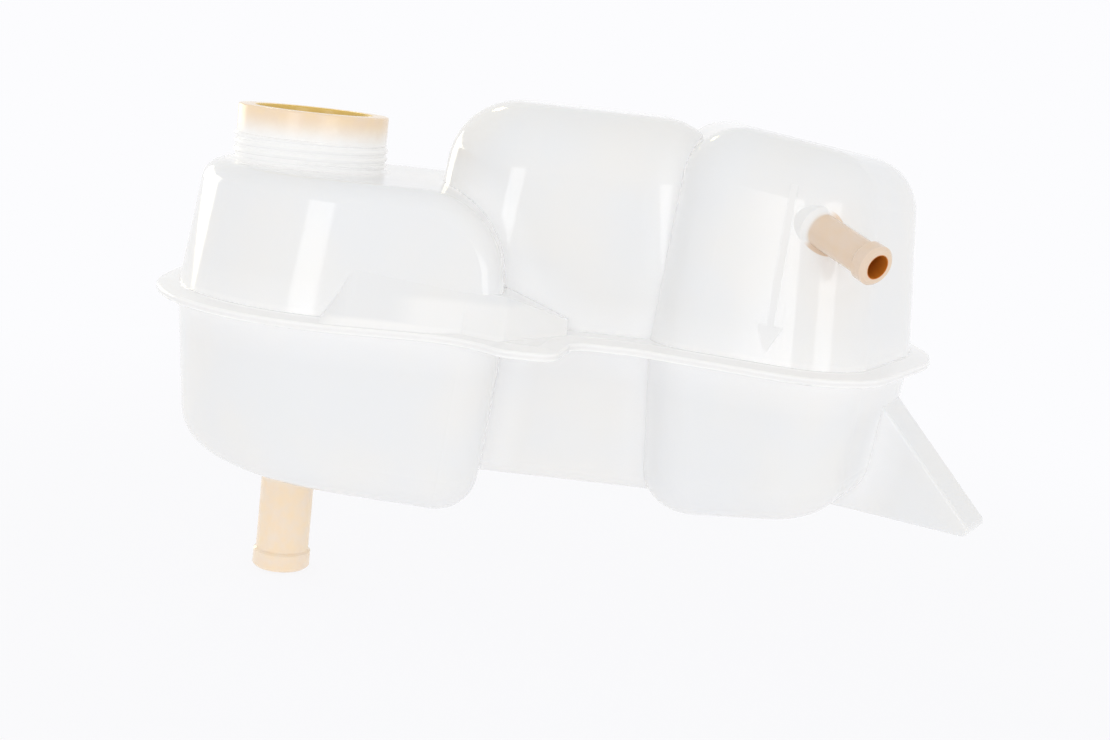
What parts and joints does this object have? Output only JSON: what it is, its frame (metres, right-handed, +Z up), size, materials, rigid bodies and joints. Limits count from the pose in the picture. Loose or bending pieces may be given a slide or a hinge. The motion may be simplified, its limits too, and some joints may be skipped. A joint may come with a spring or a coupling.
{
  "type": "coolant expansion tank",
  "caption": "Translucent engine coolant expansion tank of welded half shells, with a threaded filler neck, a hose outlet below, a slanted bleed spigot and a mounting tongue.",
  "frame": {"origin": "centre of the filler mouth, at the top of the neck", "axes": "+X along the tank towards the mounting tongue, -Y the front with the recess, +Z up the filler neck"},
  "size_m": [0.3034, 0.1435, 0.1819],
  "materials": {
    "shell": "natural, translucent, gloss moulded polypropylene"
  },
  "bodies": {
    "root": {"upper_half": "shell", "lower_half": "shell"}
  },
  "joints": []
}
